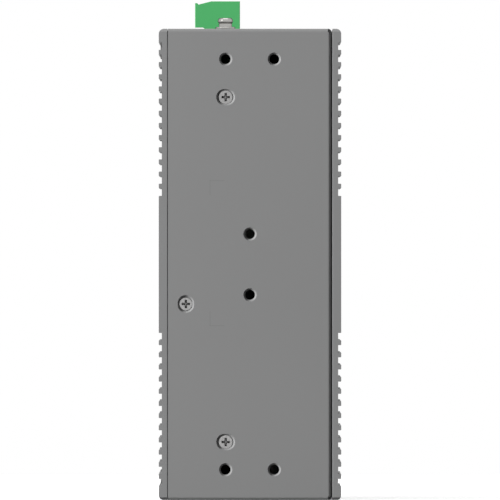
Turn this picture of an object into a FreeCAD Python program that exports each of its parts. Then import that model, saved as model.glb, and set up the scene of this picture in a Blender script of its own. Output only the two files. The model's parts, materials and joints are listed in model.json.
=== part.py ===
import FreeCAD, Part
import math
import os

from FreeCAD import Vector

os.makedirs("parts", exist_ok=True)

# Frame: the origin is the bottom centre of the case, +Z is up, the front with the ports faces -Y,
# the rear with the mounting threads faces +Y. Left and right are as seen from the front.
UP = Vector(0, 0, 1)
DOWN = Vector(0, 0, -1)
REAR = Vector(0, 1, 0)
RIGHT = Vector(1, 0, 0)

# Case
case_width = 60.0
case_height = 155.0
case_depth = 109.0
sheet = 1.0                     # folded steel of the chassis
panel_sheet = 1.0               # folded steel of the front panel
bend_radius = 1.1               # outer radius of every fold
corner_relief = 1.2             # notch where three walls meet
seam = 0.1                      # open joint between the chassis and the right plate
panel_play = 0.15               # round the front panel and in its windows
panel_flange = 10.0             # depth of the panel's upper and lower flanges

# Grooved side plates
sink_plate = 2.9
groove_depth = 1.0
groove_width = 2.4
groove_pitch = 4.0
groove_count = 13
end_band = 4.55                 # plain band above the first groove and below the last
sink_corner_radius = 1.7
sink_end_chamfer = 0.9
film_thickness = 0.3            # bonding film between the chassis and the left plate
film_margin = 6.0

# Mounting threads in the rear wall, on nuts with a hexagonal collar in the sheet
wall_mount_width = 16.0
wall_mount_inset = 10.0         # from the lower and upper ends
rail_clip_spacing = 20.0
thread_bore_r = 1.65
collar_flats = 5.4
nut_flats = 7.6
nut_height = 2.0

# Small countersunk screws: rear wall and front panel
small_screw_r = 1.25
small_head_r = 2.25
small_screw_length = 5.0
cross_width = 0.55
cross_span = 2.4
cross_depth = 0.7

# Sunk screws of the rear wall
recess_r = 2.7
carrier_screw_x = 8.0
carrier_screw_low = 19.1
carrier_screw_inset = 22.5      # the upper one, from the upper end
carrier_recess_stretch = 0.8    # the recess is longer than wide, along X
bracket_screw_x = 21.1
bracket_screw_drop = 13.0       # below mid height
bracket_recess_stretch = 0.5    # the recess is longer than wide, along Z

# Right plate: counterbored screws in two tabs at the front and in a bracket at the rear
cover_screw_r = 1.5
cover_screw_length = 4.0
cover_head_r = 2.75
cover_head_height = 1.7
counterbore_depth = 1.9
counterbore_play = 0.15
tab_screw_y = 12.5              # behind the front face
tab_screw_z = 6.5               # from the lower and upper ends
tab_width = 12.0
tab_height = 10.0
tab_bend_radius = 0.9
bracket_half_height = 6.0
bracket_foot = 5.0              # past its screw, inwards
bracket_leg = 13.0
bracket_side_hole = 8.5         # from the rear wall to the hole for the right plate's screw

# Front panel screws
panel_screw_x = 4.0
panel_screw_y = 7.0             # behind the front face

# Clearances round fasteners
hole_play = 0.2
thread_play = 0.02
head_play = 0.03

# Main board and its guides
board = 1.6
main_board_gap = 6.2            # between the left wall and the main board
main_board_front = 2.5          # behind the front face
main_board_rear = 6.5           # in front of the rear wall
main_board_ends = 3.0           # clear of the upper and lower walls
guide_lip = 1.2                 # wall on each side of the board
guide_bite = 1.8                # how deep the board sits in a guide
guide_play = 0.1
guide_front_gap = 1.0           # behind the front panel's flange

# Power board and its carrier
power_face = 3.1                # X of the side with the components
power_board_height = 92.0
power_board_gap = 5.0           # between the carrier and the power board
power_board_cage_gap = 3.5      # behind the cage for optical modules
power_board_rear_gap = 6.5      # in front of the rear wall
power_board_top_gap = 2.0
power_screw_inset = 5.0         # from the front and rear edges
power_screw_rise = 18.0         # above the lower edge
board_hole_r = 1.5
board_screw_r = 1.25
board_head_r = 2.3
board_head_height = 1.6
board_screw_length = 5.0
standoff_flats = 5.0
carrier_sheet = 1.2
carrier_rear_gap = 4.5
carrier_top_gap = 4.0
carrier_tab_half = 4.6
carrier_tab_reach = 4.5         # past its screw

# Network jacks
port_width = 11.9
port_height = 6.9
port_depth = 13.0
latch_width = 6.2
latch_height = 1.5
latch_groove_width = 3.4
latch_groove_height = 1.0
port_wall = 1.0
port_pitch = 14.0
port_columns = 4
port_block_height = 26.0
port_block_depth = 24.5
shield = 0.3
aperture_rim = 0.3
contact_count = 8
contact_pitch = 1.02
contact_width = 0.45
contact_thickness = 0.4
contact_foot = 1.2
contact_start = 3.2
contact_drop = 2.0
light_width = 2.0
light_height = 1.2
light_depth = 2.0
console_height = 13.4
console_depth = 20.0

# Cages for optical modules, two rows of two
module_width = 14.2
module_height = 9.2
cage_wall = 0.5
cage_middle = 3.2               # plastic section between the rows
cage_depth = 48.0
connector_depth = 9.0
connector_half_width = 5.5
connector_rear_gap = 1.0
connector_top_gap = 2.0
nose_length = 6.0
nose_thickness = 5.4
nose_half_width = 5.0
card_slot = 1.2
card_slot_half_width = 4.4
card_slot_depth = 5.0
connector_play = 0.3
cage_light_width = 2.6
cage_light_height = 1.8
cage_light_depth = 3.0

# Status lights: clear light pipes in a black holder
lens_count = 4
lens_pitch = 3.6
lens_length = 3.0
lens_width = 1.6
lens_holder_height = 7.0
lens_holder_depth = 8.0
lens_holder_gap = 0.6           # behind the front panel
lens_seat_depth = 3.0
lens_end_margin = 2.0

# Chips on the main board
chip_size = 20.0
chip_height = 1.6
chip_inset = 42.5               # from the rear face to the chip's middle
chip_drop = 11.5                # below mid height
pad = 0.5
spreader_size = 26.0
line_transformer_depth = 9.0
line_transformer_width = 12.0
line_transformer_height = 5.6
line_transformer_gap = 2.5      # behind the jacks
phy_size = 12.0
phy_height = 1.2
phy_gap = 4.2                   # behind the line transformers
phy_spacing = 40.0

# Connector between the two boards
link_inset = 20.0               # from the power board's front edge to the connector's middle
link_length = 26.0
link_rise = 3.0                 # above the power board's lower edge
link_width = 7.0
link_socket_height = 8.5
link_window_play = 1.5

# Terminal: a plug in a header that stands in the upper wall
terminal_pitch = 5.08
terminal_count = 4
terminal_inset = 17.0           # from the power board's front edge to the terminal's middle
plug_face = 3.32                # X of its left face
plug_width = 14.8
plug_height = 9.32
plug_flat = 9.48                # flat part of the top, from the left face
plug_lip_width = 0.72
plug_lip_step = 0.4
plug_lip_drop = 0.59
plug_dip_drop = 1.08
plug_left_rise = 0.44
plug_right_rise = 0.64
tongue_left_inset = 0.63
tongue_right_inset = 3.52
tongue_right_slant = 0.85
tongue_depth = 8.5
tongue_end_inset = 0.6
header_play = 0.05
header_end_wall = 0.8
header_side_wall = 0.85
header_floor = 2.5
header_rim_drop = 0.3
header_hole_play = 0.25
pin_size = 1.0
pin_play = 0.03
pin_x = 5.98                    # from the plug's left face
pin_top = 0.3                   # above the case
pin_elbow_drop = 2.4            # below the header
pin_tail = 0.9                  # past the far side of the power board
pin_slot_play = 0.2
wire_mouth = 3.6
wire_mouth_left = 2.1
wire_mouth_flare = 0.4
wire_mouth_flare_depth = 0.8
clamp_left = 1.7
clamp_length = 6.4
clamp_width = 4.0
clamp_low = 1.2
clamp_height = 5.3
clamp_play = 0.05
clamp_wall = 0.7
clamp_nut_wall = 2.0
clamp_screw_z = 3.9
clamp_screw_r = 1.25
clamp_screw_sink = 1.3          # below the plug's right face
clamp_screw_tip = 0.6
clamp_hole_play = 0.15
clamp_slot_width = 0.6
clamp_slot_depth = 0.6
leaf_thickness = 0.4
leaf_width = 2.4
leaf_play = 0.1
leaf_tip_gap = 0.5

# Ground screw
ground_x = 8.1
ground_inset = 14.5             # from the rear face
ground_screw_r = 1.5
ground_screw_length = 8.0
ground_head_r = 2.5
ground_head_height = 1.92
ground_washer_r = 3.25
ground_washer_thickness = 0.7
lock_washer_r = 2.2
lock_washer_thickness = 1.05
lock_washer_split = 0.4
ground_collar_flats = 4.2
ground_nut_flats = 5.6
ground_nut_height = 1.5

# Parts on the power board: size along Y, Z and X, then Y and Z of the middle from the front lower corner
coil_size = (16.0, 14.0, 12.0)
coil_place = (20.0, 29.0)
core_margin = 3.0
inductor_size = (12.0, 12.0, 7.0)
inductor_place = (37.0, 34.0)
relay_size = (20.0, 10.0, 15.0)
relay_place = (12.0, 50.0)
fuse_size = (8.5, 4.0, 8.0)
fuse_place = (13.0, 68.0)
capacitor_r = 4.0
capacitor_height = 14.0
capacitor_count = 2
capacitor_pitch = 11.0
capacitor_place = (40.0, 47.0)

# Derived planes of the case
half_width = case_width / 2
front = -case_depth / 2
rear = case_depth / 2
sink_inner = half_width - sink_plate
tray_left = -sink_inner + film_thickness
tray_right = sink_inner - seam
inner_left = tray_left + sheet
inner_rear = rear - sheet
inner_top = case_height - sheet
mid_height = case_height / 2

# Derived places of the mounting threads and screws
wall_mount_height = case_height - 2 * wall_mount_inset
carrier_screw_zs = (carrier_screw_low, case_height - carrier_screw_inset)
bracket_screw_z = mid_height - bracket_screw_drop
ground_y = rear - ground_inset

# The front stack, upwards: console jack, jack block, cages, status lights, with equal gaps
console_span = port_pitch + 2 * port_wall + 2 * shield
port_span = port_columns * port_pitch + 2 * port_wall + 2 * shield
cage_span = 2 * module_width + 3 * cage_wall
lens_span = (lens_count - 1) * lens_pitch + 2 * lens_end_margin
front_stack = (console_span, port_span, cage_span, lens_span)
front_gap = (inner_top - sheet - sum(front_stack)) / (len(front_stack) + 1)
console_low = sheet + front_gap
port_low = console_low + console_span + front_gap
cage_low = port_low + port_span + front_gap
lens_low = cage_low + cage_span + front_gap
cage_height = 2 * module_height + cage_middle + 2 * cage_wall
cage_rear = front + cage_depth
port_row = port_wall + latch_groove_height + latch_height + port_height / 2

# Derived planes of the boards
main_back = inner_left + main_board_gap
main_face = main_back + board
power_back = power_face - board
web_face = power_back - power_board_gap
web_back = web_face - carrier_sheet
power_board_high = inner_top - power_board_top_gap
power_board_low = power_board_high - power_board_height
power_board_front = cage_rear + power_board_cage_gap
power_board_rear = inner_rear - power_board_rear_gap
transformer_rear = front + port_block_depth + shield + line_transformer_gap + line_transformer_depth

# Derived places of the terminal
terminal_y = power_board_front + terminal_inset
plug_length = terminal_pitch * terminal_count
plug_right = plug_face + plug_width
tongue_left = plug_face + tongue_left_inset
tongue_right = plug_right - tongue_right_inset
tongue_low = case_height - tongue_depth
tongue_half = plug_length / 2 - tongue_end_inset
header_right = tongue_right + header_play + header_side_wall
header_low = tongue_low - header_floor
header_half = tongue_half + header_play + header_end_wall
pin_centre = plug_face + pin_x
elbow_z = header_low - pin_elbow_drop
tiny = 0.01


def block(x0, x1, y0, y1, z0, z1):
    """A box between two corners."""
    return Part.makeBox(x1 - x0, y1 - y0, z1 - z0, Vector(x0, y0, z0))


def profile_along_y(points, y0, y1):
    """A closed outline of (x, z) points, extruded from y0 to y1."""
    corners = [Vector(x, y0, z) for x, z in points]
    face = Part.Face(Part.makePolygon(corners + corners[:1]))
    return face.extrude(Vector(0, y1 - y0, 0))


def profile_along_z(points, z0, z1):
    """A closed outline of (x, y) points, extruded from z0 to z1."""
    corners = [Vector(x, y, z0) for x, y in points]
    face = Part.Face(Part.makePolygon(corners + corners[:1]))
    return face.extrude(Vector(0, 0, z1 - z0))


def hexagon(flats, z0, z1):
    """A hexagonal prism on the Z axis, given by its width across flats."""
    corner = flats / math.sqrt(3)
    turns = [math.pi / 3 * i for i in range(6)]
    return profile_along_z([(corner * math.cos(turn), corner * math.sin(turn)) for turn in turns], z0, z1)


def placed(shape, point, outward):
    """A shape drawn on the Z axis, turned so that its +Z points outward, with its origin at a point."""
    moved = shape.copy()
    moved.Placement = FreeCAD.Placement(point, FreeCAD.Rotation(UP, outward))
    return moved


def rounded(shape, radius, middles):
    """Fillets the edges whose middle points are given."""
    chosen = []
    for edge in shape.Edges:
        middle = edge.valueAt((edge.FirstParameter + edge.LastParameter) / 2)
        if any(middle.distanceToPoint(point) < tiny for point in middles):
            chosen.append(edge)
    return shape.makeFillet(radius, chosen)


def joined(shapes):
    """One solid from touching shapes."""
    return shapes[0].multiFuse(shapes[1:]).removeSplitter()


def cross_recess(reach):
    """The cross that a screwdriver turns, cut down from z = 0."""
    long_arm = block(-reach, reach, -cross_width / 2, cross_width / 2, -cross_depth, tiny)
    short_arm = block(-cross_width / 2, cross_width / 2, -reach, reach, -cross_depth, tiny)
    return joined([long_arm, short_arm])


def flat_screw():
    """A small countersunk screw with its flat head at z = 0."""
    head_height = small_head_r - small_screw_r
    head = Part.makeCone(small_screw_r, small_head_r, head_height, Vector(0, 0, -head_height))
    shank_length = small_screw_length - head_height
    shank = Part.makeCylinder(small_screw_r, shank_length, Vector(0, 0, -small_screw_length))
    return joined([head, shank]).cut(cross_recess(cross_span / 2))


def flat_screw_seat():
    """The countersink and thread that take a small flat screw, from z = 0 down."""
    thread_r = small_screw_r + thread_play
    cone_height = small_head_r - small_screw_r
    cone = Part.makeCone(thread_r, small_head_r + head_play, cone_height, Vector(0, 0, -cone_height))
    thread = Part.makeCylinder(thread_r, small_screw_length, Vector(0, 0, -small_screw_length))
    return joined([cone, thread])


def cheese_screw(screw_r, head_r, head_height, length):
    """A screw whose cylindrical head sits on z = 0."""
    head = Part.makeCylinder(head_r, head_height)
    shank = Part.makeCylinder(screw_r, length, Vector(0, 0, -length))
    return joined([head, shank])


def clinch_nut(collar_width, body_width, body_height, bore_r):
    """A hexagonal nut whose collar fills a hole of the chassis, flush with its outer face at z = 0."""
    low = -sheet - body_height
    collar = hexagon(collar_width, -sheet, 0)
    body = hexagon(body_width, low, -sheet)
    bore = Part.makeCylinder(bore_r, sheet + body_height, Vector(0, 0, low))
    return joined([collar, body]).cut(bore)


def wall_mount_points():
    """The four threads for wall plates."""
    xs = (-wall_mount_width / 2, wall_mount_width / 2)
    zs = (wall_mount_inset, wall_mount_inset + wall_mount_height)
    return [Vector(x, rear, z) for x in xs for z in zs]


def rail_clip_points():
    """The two threads for a rail clip."""
    zs = (mid_height - rail_clip_spacing / 2, mid_height + rail_clip_spacing / 2)
    return [Vector(0, rear, z) for z in zs]


def tab_screw_places():
    """Y and Z of the right plate's screws in the two tabs."""
    y = front + tab_screw_y
    return [(y, tab_screw_z), (y, case_height - tab_screw_z)]


def cover_screw_places():
    """Y and Z of all the right plate's screws."""
    return tab_screw_places() + [(inner_rear - bracket_side_hole, bracket_screw_z)]


def panel_screw_places():
    """Points and directions of the screws through the upper and lower walls into the front panel."""
    y = front + panel_screw_y
    return [(Vector(panel_screw_x, y, case_height), UP), (Vector(panel_screw_x, y, 0), DOWN)]


def power_screw_places():
    """Y and Z of the power board's screws. The header holds its upper edge in the upper wall."""
    z = power_board_low + power_screw_rise
    return [(power_board_front + power_screw_inset, z), (power_board_rear - power_screw_inset, z)]


def pole_places():
    """Y of each pole of the terminal."""
    first = terminal_y - terminal_pitch * (terminal_count - 1) / 2
    return [first + i * terminal_pitch for i in range(terminal_count)]


def sunk_recess(point, stretch):
    """A slotted countersink through the rear wall, stretched along one direction."""
    tools = []
    half = stretch * 0.5
    for end in (point - half, point + half):
        tools.append(Part.makeCone(recess_r, recess_r - sheet, sheet, end, Vector(0, -1, 0)))
    across = Vector(0, 1, 0).cross(stretch).normalize()
    outer = across * recess_r
    inner = across * (recess_r - sheet)
    depth = Vector(0, -sheet, 0)
    start = point - half
    corners = [start - outer, start + outer, start + depth + inner, start + depth - inner]
    tools.append(Part.Face(Part.makePolygon(corners + corners[:1])).extrude(stretch))
    return joined(tools)


def sunk_head_point(x, z):
    """Where the head of a screw rests in its recess."""
    return Vector(x, rear - (recess_r - small_head_r - head_play), z)


def header_box(play):
    """The terminal header's outside from its floor up to the case top, with play round it."""
    return block(power_face - play, header_right + play,
                 terminal_y - header_half - play, terminal_y + header_half + play,
                 header_low, case_height)


def chassis_tray():
    """Rear, upper, lower and left walls folded from one sheet, with two tabs for the right plate."""
    shell = block(tray_left, tray_right, front, rear, 0, case_height)
    middle_x = (tray_left + tray_right) / 2
    folds = [Vector(middle_x, rear, 0), Vector(middle_x, rear, case_height),
             Vector(tray_left, rear, mid_height), Vector(tray_left, 0, 0),
             Vector(tray_left, 0, case_height)]
    shell = rounded(shell, bend_radius, folds)
    hollow = block(inner_left, half_width, -case_depth, inner_rear, sheet, inner_top)
    walls = [shell.cut(hollow)]
    for y, z in tab_screw_places():
        end = 0 if z < mid_height else case_height
        inward = tab_height if z < mid_height else -tab_height
        tab = block(sink_inner - sheet, sink_inner, y - tab_width / 2, y + tab_width / 2,
                    min(end, end + inward), max(end, end + inward))
        walls.append(rounded(tab, tab_bend_radius, [Vector(sink_inner, y, end)]))
    tray = joined(walls)

    cuts = [header_box(header_hole_play)]
    for low in (0, case_height - corner_relief):
        cuts.append(block(tray_left, tray_left + corner_relief, rear - corner_relief, rear,
                          low, low + corner_relief))
    collar_hole = hexagon(collar_flats, -sheet, 0)
    for point in wall_mount_points() + rail_clip_points():
        cuts.append(placed(collar_hole, point, REAR))
    cuts.append(placed(hexagon(ground_collar_flats, -sheet, 0), Vector(ground_x, ground_y, case_height), UP))
    thread = Part.makeCylinder(cover_screw_r + thread_play, sheet, Vector(0, 0, -sheet))
    for y, z in tab_screw_places():
        cuts.append(placed(thread, Vector(sink_inner, y, z), RIGHT))
    for z in carrier_screw_zs:
        cuts.append(sunk_recess(Vector(carrier_screw_x, rear, z), Vector(carrier_recess_stretch, 0, 0)))
    cuts.append(sunk_recess(Vector(bracket_screw_x, rear, bracket_screw_z),
                            Vector(0, 0, bracket_recess_stretch)))
    for point, outward in panel_screw_places():
        cuts.append(placed(flat_screw_seat(), point, outward))
    return tray.cut(cuts)


def front_panel():
    """Front wall with a window for each block of ports, folded back at the top and the bottom."""
    left = inner_left + panel_play
    right = sink_inner - panel_play
    plate = block(left, right, front, front + panel_flange, sheet, inner_top)
    middle_x = (left + right) / 2
    plate = rounded(plate, bend_radius, [Vector(middle_x, front, sheet), Vector(middle_x, front, inner_top)])
    back = block(left, right, front + panel_sheet, front + panel_flange,
                 sheet + panel_sheet, inner_top - panel_sheet)
    tab_room = block(sink_inner - sheet - panel_play * 2, right, front + panel_sheet,
                     front + panel_flange, sheet, inner_top)
    cuts = [back, tab_room] + lens_boxes(panel_play, front, front + panel_sheet)
    windows = [(port_low, port_span, port_block_height + shield),
               (console_low, console_span, console_height + shield),
               (cage_low, cage_span, cage_height)]
    for low, span, height in windows:
        cuts.append(block(main_face - panel_play, main_face + height + panel_play,
                          front, front + panel_sheet, low - panel_play, low + span + panel_play))
    for point, outward in panel_screw_places():
        cuts.append(placed(flat_screw_seat(), point, outward))
    return plate.cut(cuts)


def heat_sink():
    """A side plate drawn for the right side: a grooved profile with chamfered inner corners."""
    points = [(sink_inner, 0), (half_width, 0)]
    top_group = case_height - 2 * end_band - (groove_count - 1) * groove_pitch - groove_width
    floor = half_width - groove_depth
    for group in (0, top_group):
        for i in range(groove_count):
            low = end_band + group + i * groove_pitch
            high = low + groove_width
            points += [(half_width, low), (floor, low), (floor, high), (half_width, high)]
    points += [(half_width, case_height), (sink_inner, case_height)]
    plate = profile_along_y(points, front, rear)
    plate = rounded(plate, sink_corner_radius, [Vector(half_width, 0, 0), Vector(half_width, 0, case_height)])
    wedges = []
    for y, inward in ((front, 1), (rear, -1)):
        for z, down in ((0, 1), (case_height, -1)):
            corner = [Vector(sink_inner, y, z), Vector(sink_inner, y + inward * sink_end_chamfer, z),
                      Vector(sink_inner, y, z + down * sink_end_chamfer)]
            wedge = Part.Face(Part.makePolygon(corner + corner[:1]))
            wedges.append(wedge.extrude(Vector(sink_plate, 0, 0)))
    return plate.cut(wedges)


def right_heat_sink():
    """The plate that closes the open side of the chassis, with counterbored screw holes."""
    counterbore = Part.makeCylinder(cover_head_r + counterbore_play, counterbore_depth,
                                    Vector(0, 0, -counterbore_depth))
    hole = Part.makeCylinder(cover_screw_r + hole_play, sink_plate, Vector(0, 0, -sink_plate))
    seat = joined([counterbore, hole])
    return heat_sink().cut([placed(seat, Vector(half_width, y, z), RIGHT) for y, z in cover_screw_places()])


def left_heat_sink():
    """The plate bonded to the left wall, which takes the heat of the main board."""
    return heat_sink().mirror(Vector(0, 0, 0), RIGHT)


def heat_film():
    """Film that bonds the left plate to the chassis."""
    return block(-sink_inner, tray_left, front + film_margin, rear - film_margin,
                 film_margin, case_height - film_margin)


def mounting_nuts(points):
    """Nuts with an M4 thread, open to the rear."""
    nut = clinch_nut(collar_flats, nut_flats, nut_height, thread_bore_r)
    return Part.Compound([placed(nut, point, REAR) for point in points])


def wall_mount_nuts():
    return mounting_nuts(wall_mount_points())


def rail_clip_nuts():
    return mounting_nuts(rail_clip_points())


def carrier_screws():
    """Two sunk screws that hold the board carrier."""
    points = [sunk_head_point(carrier_screw_x, z) for z in carrier_screw_zs]
    return Part.Compound([placed(flat_screw(), point, REAR) for point in points])


def bracket_screw():
    """The sunk screw that holds the cover bracket."""
    return placed(flat_screw(), sunk_head_point(bracket_screw_x, bracket_screw_z), REAR)


def cover_bracket():
    """An angle behind the rear wall that holds the rear of the right plate."""
    low = bracket_screw_z - bracket_half_height
    high = bracket_screw_z + bracket_half_height
    inner_x = bracket_screw_x - bracket_foot
    angle = block(inner_x, sink_inner, inner_rear - bracket_leg, inner_rear, low, high)
    angle = rounded(angle, bend_radius, [Vector(sink_inner, inner_rear, bracket_screw_z)])
    hollow = block(inner_x, sink_inner - sheet, inner_rear - bracket_leg, inner_rear - sheet, low, high)
    thread = Part.makeCylinder(cover_screw_r + thread_play, sheet, Vector(0, 0, -sheet))
    side_point = Vector(sink_inner, inner_rear - bracket_side_hole, bracket_screw_z)
    seat = placed(flat_screw_seat(), sunk_head_point(bracket_screw_x, bracket_screw_z), REAR)
    return angle.cut([hollow, placed(thread, side_point, RIGHT), seat])


def cover_screws():
    """Cheese-head screws of the right plate."""
    screw = cheese_screw(cover_screw_r, cover_head_r, cover_head_height, cover_screw_length)
    x = half_width - counterbore_depth
    return Part.Compound([placed(screw, Vector(x, y, z), RIGHT) for y, z in cover_screw_places()])


def panel_screws():
    """Screws through the upper and lower walls into the front panel."""
    return Part.Compound([placed(flat_screw(), point, outward) for point, outward in panel_screw_places()])


def board_carrier():
    """Upright sheet with two tabs folded along the rear wall and a window for the board connector."""
    low = carrier_screw_low - carrier_tab_half
    high = inner_top - carrier_top_gap
    shapes = [block(web_back, web_face, power_board_front, inner_rear - carrier_rear_gap, low, high)]
    tab_end = carrier_screw_x + carrier_tab_reach
    for z in carrier_screw_zs:
        tab = block(web_back, tab_end, inner_rear - 2 * carrier_rear_gap, inner_rear,
                    z - carrier_tab_half, z + carrier_tab_half)
        tab = rounded(tab, bend_radius, [Vector(web_back, inner_rear, z)])
        shapes.append(tab.cut(block(web_face, tab_end, inner_rear - 2 * carrier_rear_gap,
                                    inner_rear - carrier_sheet, z - carrier_tab_half, z + carrier_tab_half)))
    cuts = [placed(flat_screw_seat(), sunk_head_point(carrier_screw_x, z), REAR) for z in carrier_screw_zs]
    link_y = power_board_front + link_inset
    window_low = power_board_low + link_rise - link_window_play
    window_half = link_length / 2 + link_window_play
    cuts.append(block(web_back, web_face, link_y - window_half, link_y + window_half,
                      window_low, window_low + link_width + 2 * link_window_play))
    return joined(shapes).cut(cuts)


def main_board():
    """The board that carries every port, parallel to the left wall."""
    return block(main_back, main_face, front + main_board_front, inner_rear - main_board_rear,
                 sheet + main_board_ends, inner_top - main_board_ends)


def board_guides():
    """Plastic rails on the lower and upper walls that hold the edges of the main board."""
    x0 = main_back - guide_play
    x1 = main_face + guide_play
    y0 = front + panel_flange + guide_front_gap
    y1 = inner_rear - main_board_rear
    guides = []
    for wall, inward in ((sheet, 1), (inner_top, -1)):
        edge = wall + inward * main_board_ends
        lip = edge + inward * guide_bite
        rail = block(x0 - guide_lip, x1 + guide_lip, y0, y1, min(wall, lip), max(wall, lip))
        guides.append(rail.cut(block(x0, x1, y0, y1, min(edge, lip), max(edge, lip))))
    return Part.Compound(guides)


def power_board():
    """The board that carries the terminal and the power supply."""
    plate = block(power_back, power_face, power_board_front, power_board_rear,
                  power_board_low, power_board_high)
    cuts = [Part.makeCylinder(board_hole_r, board, Vector(power_back, y, z), RIGHT)
            for y, z in power_screw_places()]
    reach = pin_size / 2 + pin_slot_play
    pin_z = elbow_z + pin_size / 2
    for y in pole_places():
        cuts.append(block(power_back, power_face, y - reach, y + reach, pin_z - reach, pin_z + reach))
    return plate.cut(cuts)


def power_standoffs():
    """Hexagonal spacers between the carrier and the power board."""
    bore = Part.makeCylinder(board_screw_r + thread_play, power_board_gap)
    spacer = hexagon(standoff_flats, 0, power_board_gap).cut(bore)
    return Part.Compound([placed(spacer, Vector(web_face, y, z), RIGHT) for y, z in power_screw_places()])


def power_board_screws():
    screw = cheese_screw(board_screw_r, board_head_r, board_head_height, board_screw_length)
    return Part.Compound([placed(screw, Vector(power_face, y, z), RIGHT) for y, z in power_screw_places()])


def port_places():
    """X of the opening's middle, Z of its middle and the direction of its latch, for each network port."""
    places = []
    for i in range(port_columns):
        z = port_low + shield + port_wall + port_pitch * (i + 0.5)
        places.append((main_face + port_row, z, -1))
        places.append((main_face + port_block_height - port_row, z, 1))
    return places


def console_place():
    """The same for the console port."""
    return (main_face + port_row, console_low + console_span / 2, -1)


def span_block(x0, x1, y0, y1, z_middle, width):
    """A box given by its middle and width along Z, with its X limits in any order."""
    return block(min(x0, x1), max(x0, x1), y0, y1, z_middle - width / 2, z_middle + width / 2)


def port_cavity(x, z, latch):
    """The opening for a plug: the main hollow, the latch's step and its groove."""
    face = front + shield
    edge = x + latch * port_height / 2
    step = edge + latch * latch_height
    main = span_block(x - port_height / 2, x + port_height / 2, face, face + port_depth, z, port_width)
    latch_step = span_block(x, step, face, face + port_depth, z, latch_width)
    groove = span_block(x, step + latch * latch_groove_height, face, face + port_depth, z, latch_groove_width)
    return joined([main, latch_step, groove])


def port_light_boxes(x, z, latch):
    """Two windows beside the latch's step."""
    face = front + shield
    inner = x + latch * (port_height / 2 + (latch_height - light_height) / 2)
    outer = inner + latch * light_height
    offset = (latch_width + port_width) / 4
    return [span_block(inner, outer, face, face + light_depth, z + side * offset, light_width)
            for side in (-1, 1)]


def port_wires(x, z, latch):
    """The sprung contact wires on the side away from the latch."""
    wall = x - latch * port_height / 2
    deep = wall + latch * contact_drop
    start = front + shield + contact_start
    rear_end = front + shield + port_depth
    outline = [(wall, start), (wall, start + contact_foot),
               (deep - latch * contact_thickness, rear_end), (deep, rear_end)]
    first = z - contact_pitch * (contact_count - 1) / 2 - contact_width / 2
    lows = [first + i * contact_pitch for i in range(contact_count)]
    return [profile_along_z(outline, low, low + contact_width) for low in lows]


def jack_housing(low, span, height, depth, places):
    """The plastic body of a jack inside its shield."""
    body = block(main_face, main_face + height, front + shield, front + depth,
                 low + shield, low + span - shield)
    cuts = []
    for place in places:
        cuts.append(port_cavity(*place))
        cuts += port_light_boxes(*place)
    return body.cut(cuts)


def jack_shield(low, span, height, depth, places):
    """Sheet metal round a jack, open to the board, with an aperture for each port."""
    body = block(main_face, main_face + height + shield, front, front + depth + shield, low, low + span)
    inside = block(main_face, main_face + height, front + shield, front + depth,
                   low + shield, low + span - shield)
    cuts = [inside]
    for x, z, latch in places:
        near = x - latch * (port_height / 2 + aperture_rim)
        far = x + latch * (port_height / 2 + latch_height + aperture_rim)
        cuts.append(span_block(near, far, front, front + shield, z, port_width + 2 * aperture_rim))
    return body.cut(cuts)


def port_block():
    return jack_housing(port_low, port_span, port_block_height, port_block_depth, port_places())


def port_shield():
    return jack_shield(port_low, port_span, port_block_height, port_block_depth, port_places())


def port_contacts():
    wires = []
    for place in port_places():
        wires += port_wires(*place)
    return Part.Compound(wires)


def port_lights():
    lights = []
    for place in port_places() + [console_place()]:
        lights += port_light_boxes(*place)
    return Part.Compound(lights)


def console_jack():
    return jack_housing(console_low, console_span, console_height, console_depth, [console_place()])


def console_shield():
    return jack_shield(console_low, console_span, console_height, console_depth, [console_place()])


def console_contacts():
    return Part.Compound(port_wires(*console_place()))


def module_columns():
    """Z of the middle of each column of the cage."""
    first = cage_low + cage_wall + module_width / 2
    return [first, first + module_width + cage_wall]


def module_rows():
    """X of the middle of each row of the cage."""
    first = main_face + cage_wall + module_height / 2
    return [first, first + module_height + cage_middle]


def connector_rear():
    return cage_rear - cage_wall - connector_rear_gap


def sfp_cage():
    """Outer sheet of the cage for optical modules, with slots in its base for the connectors."""
    body = block(main_face, main_face + cage_height, front, cage_rear, cage_low, cage_low + cage_span)
    inside = block(main_face + cage_wall, main_face + cage_height - cage_wall, front, cage_rear - cage_wall,
                   cage_low + cage_wall, cage_low + cage_span - cage_wall)
    cuts = [inside]
    y1 = connector_rear() + connector_play
    y0 = connector_rear() - connector_depth - connector_play
    for z in module_columns():
        cuts.append(span_block(main_face, main_face + cage_wall, y0, y1, z,
                               2 * (connector_half_width + connector_play)))
    return body.cut(cuts)


def sfp_divider():
    """Wall between the two columns of the cage."""
    z = cage_low + cage_span / 2
    return span_block(main_face + cage_wall, main_face + cage_height - cage_wall, front,
                      cage_rear - cage_wall, z, cage_wall)


def cage_light_wedges():
    """Triangular lights in the section between the rows, one for each module."""
    middle_x = main_face + cage_wall + module_height + cage_middle / 2
    wedges = []
    for z in module_columns():
        for side in (-1, 1):
            middle = z + side * module_width / 4
            base = middle_x - side * cage_light_height / 2
            tip = middle_x + side * cage_light_height / 2
            half = cage_light_width / 2
            outline = [(base, middle - half), (base, middle + half), (tip, middle)]
            wedges.append(profile_along_y(outline, front, front + cage_light_depth))
    return wedges


def sfp_centre_sections():
    """Plastic sections between the upper and lower row of modules."""
    low_x = main_face + cage_wall + module_height
    y1 = connector_rear() - connector_depth - nose_length
    sections = []
    for z in module_columns():
        section = span_block(low_x, low_x + cage_middle, front, y1, z, module_width)
        sections.append(section.cut(cage_light_wedges()))
    return Part.Compound(sections)


def cage_lights():
    return Part.Compound(cage_light_wedges())


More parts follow.
